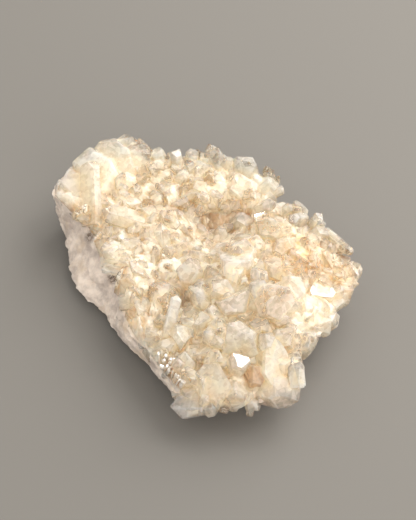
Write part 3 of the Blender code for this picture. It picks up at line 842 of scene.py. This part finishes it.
@dataclass(frozen=True)
class QuartzFinish:
    """Glassy quartz, milky at the root and clear towards the tip.

    The clearness is the share of light that goes through. scatter and facet are lengths in metres, veiling is
    how much one inner facet is clearer than another, and tint_density how strongly depth colours the quartz.
    """

    name: str = "quartz_clear"
    root_clearness: float = 0.5
    tip_clearness: float = 0.86
    # The deep and gap colours are painted shade for the low places between the crystals; milk and clear are
    # the quartz higher up.
    deep: Colour = (0.92, 0.785, 0.61, 1.0)
    milk: Colour = (0.975, 0.92, 0.785, 1.0)
    clear: Colour = (0.98, 0.95, 0.865, 1.0)
    grey: Colour = (0.86, 0.81, 0.77, 1.0)
    # The edge colour is a painted highlight along the crystals' edges.
    edge: Colour = (1.0, 0.98, 0.92, 1.0)
    rust: Colour = (0.90, 0.54, 0.25, 1.0)
    gap_shade: Colour = (0.70, 0.49, 0.31, 1.0)
    crack: Colour = (0.06, 0.03, 0.012, 1.0)
    roughness: float = 0.07
    frosting: float = 0.12
    refraction: float = 1.544
    scatter: float = 0.008
    facet: float = 0.0026
    facet_strength: float = 0.05
    veiling: float = 0.10
    tint: Colour = (0.98, 0.89, 0.67, 1.0)
    tint_density: float = 30.0

    def material(self) -> bpy.types.Material:
        """Returns the node material."""
        material, nodes, shader, output = new_material(self.name)
        growth, tone, rise, clear, grey_and_shade, iron, edge, polish = (
            nodes.attribute(trait.value) for trait in Trait if trait is not Trait.ALONG)
        cloud = nodes.noise(170.0, 4.0, 0.6)
        veil = nodes.maths("ADD", nodes.maths("MULTIPLY", cloud, 0.8), nodes.maths("MULTIPLY", tone, 0.5))
        ripeness = nodes.maths("ADD", growth, nodes.mapped(veil, 0.3, 1.0, 0.3, -0.3))
        clearness = nodes.mapped(ripeness, 0.1, 0.95, self.root_clearness, self.tip_clearness)
        broad, veil_a = nodes.facets(self.facet, 1.5)
        fine, veil_b = nodes.facets(self.facet * 0.45)
        veils = nodes.maths("ADD", nodes.maths("MULTIPLY", veil_a, 0.6), nodes.maths("MULTIPLY", veil_b, 0.4))
        clearness = nodes.maths("ADD", clearness, nodes.mapped(veils, 0.2, 0.8, -self.veiling, self.veiling))
        clearness = nodes.maths("MINIMUM", nodes.maths("ADD", clearness, clear), 0.97)
        clearness = nodes.maths("MULTIPLY", clearness, nodes.mapped(iron, 1.1, 1.7, 1.0, 0.2))
        nodes.link(clearness, shader.inputs["Transmission Weight"])
        # Painted shade: the colour runs from the gap colour through deep and milk to clear as the rise grows,
        # so low places are painted darker and browner.
        height = nodes.maths("ADD", rise, nodes.mapped(cloud, 0.3, 0.7, -0.2, 0.2))
        base = nodes.mixed(nodes.mapped(height, -0.55, -0.1, 0.0, 1.0), self.gap_shade, self.deep)
        base = nodes.mixed(nodes.mapped(height, -0.1, 0.6, 0.0, 1.0), base, self.milk)
        base = nodes.mixed(nodes.mapped(height, 0.45, 1.1, 0.0, 1.0), base, self.clear)
        # Greyer where the grey attribute says: partly greyer quartz, partly painted half shade.
        base = nodes.mixed(nodes.mapped(grey_and_shade, 0.0, 1.0, 0.0, 0.85), base, self.grey)
        patches = nodes.mapped(nodes.noise(260.0, 4.0, 0.6), 0.38, 0.60, 0.3, 1.0)
        stain = nodes.maths("MULTIPLY", nodes.mapped(iron, 0.05, 1.0, 0.0, 0.9),
                            nodes.mapped(iron, 1.2, 1.6, 1.0, 0.2))
        base = nodes.mixed(nodes.maths("MULTIPLY", patches, stain), base, self.rust)
        # Painted highlight: paler along the edges.
        base = nodes.mixed(nodes.mapped(edge, 0.0, 1.0, 0.0, 0.15), base, self.edge)
        crack = nodes.maths("MULTIPLY", nodes.cracks(0.2), nodes.mapped(iron, 1.3, 1.7, 0.0, 1.0))
        base = nodes.mixed(crack, base, self.crack)
        nodes.link(base, shader.inputs["Base Color"])
        frost = nodes.mapped(nodes.noise(420.0, 3.0), 0.5, 0.75, self.roughness,
                             self.roughness + self.frosting)
        nodes.link(frost, shader.inputs["Roughness"])
        shader.inputs["IOR"].default_value = self.refraction
        shader.inputs["Subsurface Weight"].default_value = 1.0
        shader.inputs["Subsurface Radius"].default_value = (1.0, 0.9, 0.8)
        shader.inputs["Subsurface Scale"].default_value = self.scatter
        lines = nodes.add("ShaderNodeTexNoise", noise_dimensions="1D", in_Scale=1300.0, in_Detail=2.0)
        nodes.link(nodes.attribute(Trait.ALONG.value), lines.inputs["W"])
        relief = nodes.maths("ADD", nodes.maths("MULTIPLY", lines.outputs["Fac"], 0.7),
                             nodes.noise(900.0, 3.0, 0.6, 0.6))
        swell = nodes.add("ShaderNodeBump", in_Distance=0.0015)
        nodes.link(nodes.noise(230.0, 2.0, 0.4), swell.inputs["Height"])
        facing = nodes.add("ShaderNodeBump", in_Distance=1.0)
        nodes.link(nodes.maths("ADD", broad, fine), facing.inputs["Height"])
        nodes.link(swell.outputs["Normal"], facing.inputs["Normal"])
        nodes.link(nodes.mapped(polish, 0.0, 1.0, 0.35, 0.0), swell.inputs["Strength"])
        nodes.link(nodes.mapped(polish, 0.0, 1.0, self.facet_strength, 0.0), facing.inputs["Strength"])
        bump = nodes.add("ShaderNodeBump", in_Distance=0.0004)
        nodes.link(facing.outputs["Normal"], bump.inputs["Normal"])
        nodes.link(relief, bump.inputs["Height"])
        nodes.link(nodes.mapped(polish, 0.0, 1.0, 0.4, 0.02), bump.inputs["Strength"])
        nodes.link(bump.outputs["Normal"], shader.inputs["Normal"])
        absorption = nodes.add("ShaderNodeVolumeAbsorption", in_Color=self.tint, in_Density=self.tint_density)
        nodes.link(absorption.outputs["Volume"], output.inputs["Volume"])
        return material


class RockTrait(Enum):
    """The float attributes that the rock's mesh carries, for its material to read."""

    SHELTERED = "sheltered"  # 1 under the crystals, 0 where it is broken open
    CRACKED = "cracked"  # 1 in the middle of a cracked place


@dataclass(frozen=True)
class MatrixFinish:
    """Rough broken milky quartz, greyish outside and pale under the crystals."""

    name: str = "matrix_broken_quartz"
    bed: Colour = (0.94, 0.83, 0.64, 1.0)
    hollow: Colour = (0.80, 0.62, 0.42, 1.0)
    grey: Colour = (0.49, 0.41, 0.355, 1.0)
    pale: Colour = (0.83, 0.72, 0.62, 1.0)
    warm: Colour = (0.66, 0.52, 0.38, 1.0)
    crack: Colour = (0.10, 0.055, 0.025, 1.0)
    roughness: float = 0.45
    depth: float = 0.4
    scatter: float = 0.0025

    def material(self) -> bpy.types.Material:
        """Returns the node material."""
        material, nodes, shader, _ = new_material(self.name)
        mottling = nodes.mapped(nodes.noise(190.0, 6.0, 0.65), 0.38, 0.62, 0.0, 1.0)
        base = nodes.mixed(mottling, self.grey, self.pale)
        warmth = nodes.mapped(nodes.noise(110.0, 4.0, 0.6), 0.5, 0.68, 0.0, 0.75)
        base = nodes.mixed(warmth, base, self.warm)
        crack = nodes.maths("MULTIPLY", nodes.cracks(0.2),
                            nodes.mapped(nodes.attribute(RockTrait.CRACKED.value), 0.3, 0.7, 0.0, 1.0))
        base = nodes.mixed(crack, base, self.crack)
        bed = nodes.mixed(nodes.mapped(nodes.noise(120.0, 3.0), 0.4, 0.65, 0.0, 0.8), self.bed, self.hollow)
        base = nodes.mixed(nodes.attribute(RockTrait.SHELTERED.value), base, bed)
        nodes.link(base, shader.inputs["Base Color"])
        shader.inputs["Roughness"].default_value = self.roughness
        shader.inputs["Subsurface Weight"].default_value = self.depth
        shader.inputs["Subsurface Radius"].default_value = (1.0, 0.9, 0.8)
        shader.inputs["Subsurface Scale"].default_value = self.scatter
        bump = nodes.add("ShaderNodeBump", in_Strength=0.7, in_Distance=0.0008)
        nodes.link(nodes.noise(600.0, 8.0, 0.75), bump.inputs["Height"])
        nodes.link(bump.outputs["Normal"], shader.inputs["Normal"])
        return material


# ------------------------------------------------------------------------------------------ sub-assemblies


@dataclass
class MatrixPlate:
    """The broken plate of milky quartz under the crystals.

    The underside's rows are shares of the way out from the heart, the wall's of the way up to the rim, and
    the bed's of the way out again. Breaks and grit roughen the wall, and cracks are where it has dark ones.
    """

    plate: Plate
    around: int = 360
    wall_rows: tuple[float, ...] = (0.24, *(0.28 + 0.048 * step for step in range(16)))
    underside_rows: tuple[float, ...] = (0.0, 0.5, 1.0)
    bed_rows: tuple[float, ...] = (0.94, 0.88, 0.82, 0.72, 0.62, 0.5, 0.4, 0.2, 0.0)
    breaks: Breaks = ((10.0, 0.3), (10.0 / 3, 0.4))
    grit: tuple[Pair, ...] = ((0.35, 1.6), (0.15, 0.6))
    unevenness: float = 0.8
    uneven_size: float = 2.5
    cracks: tuple[Triple, ...] = ((-45.0, 27.2, 14.0), (-40.3, 18.4, 14.0), (-31.8, 1.2, 14.0))
    crack_spread: float = 2.3

    def row_point(self, turn: float, row: int) -> Vector:
        """Returns the cage's point at a turn round the plate, for a row counted from underneath."""
        heart = Vector(self.plate.heart)
        foot = self.plate.around(turn, "foot")
        if row < len(self.underside_rows):
            edge = foot - (foot - heart).normalized() * self.plate.foot_inset
            flat = heart.lerp(edge, self.underside_rows[row])
            return Vector((flat.x, flat.y, 0.0))
        row -= len(self.underside_rows)
        if row < len(self.wall_rows):
            share = self.wall_rows[row]
            rim = self.plate.point(turn, 1.0)
            low = self.wall_rows[0]
            flat = foot.lerp(rim.xy, (share - low) / (1.0 - low))
            place = Vector((flat.x, flat.y, rim.z * share))
            outward = (rim - Vector((*self.plate.heart, rim.z))).normalized()
            grit = Vector()
            for height, size in self.grit:
                grit += height * noise.noise_vector(place / size)
            return place + outward * broken(place, self.breaks) + grit
        place = self.plate.point(turn, self.bed_rows[row - len(self.wall_rows)])
        place.z += self.unevenness * noise.noise(place / self.uneven_size)
        return place

    def build(self, material: bpy.types.Material) -> bpy.types.Object:
        """Returns the finished plate."""
        rows = len(self.underside_rows) + len(self.wall_rows) + len(self.bed_rows)
        bm = bmesh.new()
        bmesh.ops.create_uvsphere(bm, u_segments=self.around, v_segments=rows - 1, radius=1.0)
        traits = float_layers(bm, RockTrait)
        for vert, turn, row in turns_and_rows(bm, self.around, rows):
            place = self.row_point(turn, row)
            near = min((place - Vector(crack)).length for crack in self.cracks)
            vert[traits[RockTrait.CRACKED]] = math.exp(-(near**2) / (2 * self.crack_spread**2))
            vert[traits[RockTrait.SHELTERED]] = 1.0 if row >= rows - len(self.bed_rows) else 0.0
            vert.co = (place - DATUM) * MM
        bmesh.ops.recalc_face_normals(bm, faces=bm.faces)
        piece = piece_from("matrix_rock", bm, material)
        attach(piece, "root")
        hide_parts("matrix")
        return piece


Circles = tuple[Triple, ...]  # the middle and the radius of each


def encircled(x: float, y: float, circles: Circles, margin: float = 0.0) -> bool:
    """Returns whether a place is in one of some circles, widened by a margin."""
    return any(math.hypot(x - a, y - b) < radius + margin for a, b, radius in circles)


@dataclass(frozen=True)
class Sowing:
    """How one size of small crystals lies over the bed.

    Lengths are in millimetres and angles in radians: the grid's spacing, the radii, how far the tips reach
    along their axes, the lean from the bed's normal, the way most of them lean, the share of the way out to
    the rim that they keep to, the share of a named point's radius that they keep away, the neighbours of
    each, the circles that they are limited to, if any, and how deep a flawless end face is cut, if one is.
    """

    spacing: float
    radii: Pair
    reaches: Pair
    leans: Pair
    flow: float
    limit: float
    clearance: float
    mates: int
    circles: Circles = ()
    mirror: float = 0.0


SPARKLE = ((-13, -35, 4.5), (-10, -42, 2.5))
DRUSY = ((-20, 22, 26), (0, 38, 16), (38, 8, 13), (27, 26, 12), (-27, -6, 12), (42, -10, 9), (-12, 2, 10))
BLOCKY = ((8, -22, 17), (18, -38, 13), (-4, -36, 13), (22, -14, 13), (15, 0, 9))

SOWINGS = (
    Sowing(7.6, (4.0, 5.8), (7.5, 11.0), (0.3, 1.0), -0.4, 0.94, 0.5, 2, BLOCKY),
    Sowing(7.2, (3.4, 5.2), (5.5, 8.5), (0.5, 1.3), -0.4, 0.92, 0.6, 2),
    Sowing(5.4, (2.0, 3.4), (5.5, 8.0), (0.5, 1.25), -0.4, 0.96, 0.4, 1, DRUSY),
    Sowing(1.6, (0.7, 1.1), (3.6, 5.0), (0.0, 0.4), -0.4, 0.97, 0.0, 0, SPARKLE, 0.5),
)


@dataclass(frozen=True)
class Fringe:
    """How the crystals stand that lean out over the rim, in millimetres.

    spacing is the way from one to the next, lift how far above the rim their tips end, sunk and inset how far
    below and inside it their roots lie, and sway how far a tip strays along it. Where they reach out less
    than steep they stand apart and alone. Where the rim looks to the back by more than back_from they are
    broken off, and rise by up to back_rise. The corner behind bare_corner has none.
    """

    spacing: float = 4.2
    radii: Pair = (3.2, 5.4)
    lift: Pair = (0.5, 3.2)
    sunk: float = 1.5
    inset: float = 4.5
    sway: float = 3.5
    steep: float = 2.6
    apart: float = 1.5
    back_from: float = 0.4
    back_rise: float = 3.0
    bare_corner: Pair = (-20.0, 28.0)


@dataclass
class CrystalBed:
    """Every crystal on the plate: the named points, the druse between them and the fringe on the rim.

    The druse lies on a grid of half_width, whose places jitter by a share of its spacing, and its lean drifts
    from place to place. Under it all lies the quartz of the roots, whose outermost rows are a skirt.
    """

    plate: Plate
    fringe: Fringe = Fringe()
    seed: int = 41
    half_width: float = 62.0
    jitter: float = 0.35
    drift_size: float = 8.0
    drift: float = 3.0
    sway: float = 0.7
    root_depth: float = 3.0
    bare_from: float = 0.4
    sparkle_margin: float = 0.5
    bed_around: int = 240
    bed_rows: tuple[float, ...] = (0.0, 0.5, 0.96, 0.99, 0.97,
                                   *(0.94 * (1 - step / 40) for step in range(41)))
    skirt_rows: int = 3
    skirt_drop: float = 1.5
    bed_breaks: Breaks = ((6.0, 0.9), (2.6, 0.9))
    bed_lift: float = 2.6
    bed_painted_shade: float = 0.3

    def near_named_point(self, x: float, y: float, share: float) -> bool:
        """Returns whether a named point already stands here."""
        for point in (*LARGE_POINTS.values(), *SMALLER_POINTS.values()):
            middle = (Vector(point.root) + Vector(point.tip)) / 2
            if math.hypot(x - middle.x, y - middle.y) < point.radius * share:
                return True
        return False

    def in_hollow(self, x: float, y: float) -> bool:
        """Returns whether a place is left bare."""
        return any(hollow.share(x, y) > self.bare_from for hollow in HOLLOWS)

    def scattered(self, rng: random.Random, sowing: Sowing) -> Iterator[Point]:
        """Yields small crystals on a jittered grid over the bed."""
        half = int(self.half_width / sowing.spacing)
        for i in range(-half, half + 1):
            for j in range(-half, half + 1):
                x = (i + 0.5 * (j % 2) + rng.uniform(-self.jitter, self.jitter)) * sowing.spacing
                y = (j * math.cos(math.pi / 6) + rng.uniform(-self.jitter, self.jitter)) * sowing.spacing
                radius = rng.uniform(*sowing.radii)
                reach = rng.uniform(*sowing.reaches)
                lean = math.tan(rng.uniform(*sowing.leans))
                spot = Vector((x / self.drift_size, y / self.drift_size, sowing.spacing))
                drift = self.drift * noise.noise(spot)
                towards = sowing.flow + math.pi * drift + rng.uniform(-self.sway, self.sway)
                habit = rng.choice((Habit.POINT, Habit.CHISEL, Habit.CHISEL, Habit.STUB))
                flatness = rng.uniform(0.4, 0.9)
                if sowing.circles and not encircled(x, y, sowing.circles):
                    continue
                if not self.plate.holds(x, y, sowing.limit):
                    continue
                if self.near_named_point(x, y, sowing.clearance) or self.in_hollow(x, y):
                    continue
                axis = self.plate.normal(x, y) + lean * Vector((math.cos(towards), math.sin(towards), 0.0))
                axis.normalize()
                foot = Vector((x, y, self.plate.height(x, y)))
                yield Point(tuple(foot - axis * self.root_depth), tuple(foot + axis * reach), radius, habit,
                            clear=-sowing.mirror, flatness=flatness, mates=sowing.mates, mirror=sowing.mirror)

    def leaning(self, rng: random.Random) -> Iterator[Point]:
        """Yields the fringe's crystals, which lean out over the rim."""
        fringe = self.fringe
        steps = 20 * len(STATIONS)
        walk = [self.plate.around(step / steps, "rim") for step in range(steps + 1)]
        travelled = 0.0
        wanted = 0.0
        for step, (rim, following) in enumerate(zip(walk, walk[1:])):
            stride = following - rim
            if travelled >= wanted:
                reach = self.plate.reach(step / steps)
                steep = reach < fringe.steep
                wanted += (fringe.apart if steep else 1.0) * fringe.spacing * rng.uniform(0.8, 1.2)
                along = stride.normalized()
                outward = Vector((along.y, -along.x))
                level = self.plate.height(rim.x, rim.y) - self.plate.rim_drop
                root = rim - outward * fringe.inset
                tip = rim + outward * reach * rng.uniform(0.6, 1.0)
                tip += along * rng.uniform(-fringe.sway, fringe.sway)
                habit = Habit.STUB
                if outward.y <= fringe.back_from:
                    habit = rng.choice((Habit.CHISEL, Habit.STUB, Habit.STUB))
                higher = fringe.back_rise * max(0.0, outward.y)
                if rim.x >= fringe.bare_corner[0] or rim.y <= fringe.bare_corner[1]:
                    yield Point((root.x, root.y, level - fringe.sunk),
                                (tip.x, tip.y, level + higher + rng.uniform(*fringe.lift)),
                                rng.uniform(*fringe.radii), habit, clear=-0.1,
                                flatness=rng.uniform(0.6, 1.0), mates=0 if steep else 1)
            travelled += stride.length

    def root_bed(self) -> bpy.types.Mesh:
        """Returns the quartz that the crystals' roots have grown into, in the frame's metres."""
        rows = len(self.bed_rows)
        bm = bmesh.new()
        bmesh.ops.create_uvsphere(bm, u_segments=self.bed_around, v_segments=rows - 1, radius=1.0)
        traits = float_layers(bm, Trait)
        for vert, turn, row in turns_and_rows(bm, self.bed_around, rows):
            place = self.plate.point(turn, self.bed_rows[row])
            if row < self.skirt_rows:
                place.z -= self.skirt_drop
            else:
                breaks = broken(place, self.bed_breaks)
                place.z += self.bed_lift * min(1.0, (row - 2) / 5) + breaks
                place.z -= hollowed(place.x, place.y)
            vert[traits[Trait.GROWTH]] = 0.5
            vert[traits[Trait.CLEAR]] = -0.4
            vert[traits[Trait.TONE]] = 0.5
            # Lowering the bed's rise paints it darker, as shade under the crystals.
            vert[traits[Trait.RISE]] = risen(self.plate, place) - self.bed_painted_shade
            vert[traits[Trait.GREY_AND_SHADE]] = greyed_and_shaded(place.x, place.y)
            vert[traits[Trait.IRON]] = rusted(place.x, place.y)
            vert.co = (place - DATUM) * MM
        bmesh.ops.recalc_face_normals(bm, faces=bm.faces)
        mesh = bpy.data.meshes.new("root_bed")
        bm.to_mesh(mesh)
        bm.free()
        return mesh

    def build(self, quartz: bpy.types.Material) -> bpy.types.Object:
        """Returns the finished crystals."""
        rng = random.Random(self.seed)
        crust = Growth("crystal_crust", CrystalCutter(self.plate))
        crust.meshes.append(self.root_bed())
        for point in (*LARGE_POINTS.values(), *SMALLER_POINTS.values()):
            crust.add_sheaf(point, rng, worn=True)
        for point in self.leaning(rng):
            crust.add_sheaf(point, rng, worn=True)
        left_out = Growth("left_out", crust.cutter)  # cut all the same, so that the others' draws stay
        for sowing in SOWINGS:
            for point in self.scattered(rng, sowing):
                place = point.root[:2]
                crowded = sowing.circles is not SPARKLE and encircled(*place, SPARKLE, self.sparkle_margin)
                (left_out if crowded else crust).add_sheaf(point, rng)
        bpy.data.batch_remove(left_out.meshes)
        piece = crust.finish(quartz)
        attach(piece, "root")
        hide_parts("crystals")
        return piece


# ------------------------------------------------------------------------------------------ studio


@dataclass(frozen=True)
class AreaLight:
    """A rectangular light, with its place and sides in metres and its power in watts."""

    name: str
    place: Triple
    size: Pair
    power: float
    colour: Triple = (1.0, 0.98, 0.95)

    def hang(self) -> None:
        """Hangs the light so that it faces the specimen."""
        light = bpy.data.lights.new(self.name, "AREA")
        light.shape = "RECTANGLE"
        light.size, light.size_y = self.size
        light.energy = self.power
        light.color = self.colour
        lamp = bpy.data.objects.new(self.name, light)
        lamp.location = self.place
        lamp.rotation_euler = (Vector((0, 0, 0.02)) - Vector(self.place)).to_track_quat("-Z", "Y").to_euler()
        bpy.context.scene.collection.objects.link(lamp)


@dataclass(frozen=True)
class Studio:
    """The floor, the lights and the camera."""

    elevation: float = math.radians(55)
    distance: float = 0.5
    lens: float = 100.0
    sensor: float = 36.0
    aim: Triple = (0.5, 4.7, 19.3)
    floor_half: float = 3.0
    floor_colour: Colour = (0.150, 0.141, 0.127, 1.0)
    floor_roughness: float = 0.8
    room_colour: Colour = (1.0, 0.97, 0.93, 1.0)
    room_strength: float = 1.15
    window: AreaLight = AreaLight("window", (0.54, 0.44, 0.60), (0.9, 0.9), 13.0)
    lamp: AreaLight = AreaLight("lamp", (0.40, 0.30, 0.56), (0.06, 0.06), 0.4)
    fill: AreaLight = AreaLight("fill", (0.60, -0.8, 0.5), (1.2, 0.8), 5.0, (1.0, 0.97, 0.93))
    bounces: int = 24
    dull_bounces: int = 8

    def viewpoint(self) -> Vector:
        """Returns the camera's place in the frame."""
        back = Vector((0, -math.cos(self.elevation), math.sin(self.elevation)))
        return (Vector(self.aim) - DATUM) * MM + back * self.distance

    def mirror_normal(self, place: Vector) -> Vector:
        """Returns the way a face at a place on the tables' grid looks when the camera sees the lamp in it."""
        here = (place - DATUM) * MM
        to_lamp = (Vector(self.lamp.place) - here).normalized()
        return ((self.viewpoint() - here).normalized() + to_lamp).normalized()

    def floor(self) -> None:
        """Lays the floor."""
        bm = bmesh.new()
        bmesh.ops.create_grid(bm, x_segments=1, y_segments=1, size=self.floor_half)
        material, _, shader, _ = new_material("floor_matt")
        shader.inputs["Base Color"].default_value = self.floor_colour
        shader.inputs["Roughness"].default_value = self.floor_roughness
        piece_from("floor", bm, material)

    def lights(self) -> None:
        """Hangs the lights and sets the room's own light."""
        world = bpy.data.worlds.new("room")
        world.use_nodes = True
        background = world.node_tree.nodes["Background"]
        background.inputs["Color"].default_value = self.room_colour
        background.inputs["Strength"].default_value = self.room_strength
        bpy.context.scene.world = world
        for light in (self.window, self.lamp, self.fill):
            light.hang()

    def camera(self) -> None:
        """Sets the camera."""
        data = bpy.data.cameras.new("camera")
        data.lens = self.lens
        data.sensor_width = self.sensor
        data.clip_start = 0.01
        camera = bpy.data.objects.new("camera", data)
        camera.location = self.viewpoint()
        camera.rotation_euler = (math.pi / 2 - self.elevation, 0, 0)
        bpy.context.scene.collection.objects.link(camera)
        bpy.context.scene.camera = camera


    def settings(self) -> None:
        """Sets the colours' transform, and how often light may bounce in the quartz and off dull things."""
        scene = bpy.context.scene
        scene.view_settings.view_transform = "Standard"
        scene.cycles.max_bounces = self.bounces
        scene.cycles.transmission_bounces = self.bounces
        scene.cycles.diffuse_bounces = self.dull_bounces
        scene.cycles.glossy_bounces = self.dull_bounces


def report(piece: bpy.types.Object) -> None:
    """Logs a piece's faces and its open edges, of which a closed surface has none."""
    bm = bmesh.new()
    bm.from_mesh(piece.data)
    opened = sum(1 for edge in bm.edges if not edge.is_manifold)
    log.info("%s: %d faces, %d open edges", piece.name, len(bm.faces), opened)
    bm.free()


def main() -> None:
    """Builds the specimen and its studio."""
    logging.basicConfig(level=logging.INFO, format="%(message)s")
    noise.seed_set(NOISE_SEED)
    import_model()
    plate = Plate()
    report(MatrixPlate(plate).build(MatrixFinish().material()))
    report(CrystalBed(plate).build(QuartzFinish().material()))
    studio = Studio()
    studio.floor()
    studio.lights()
    studio.camera()
    studio.settings()


if __name__ == "__main__":
    main()
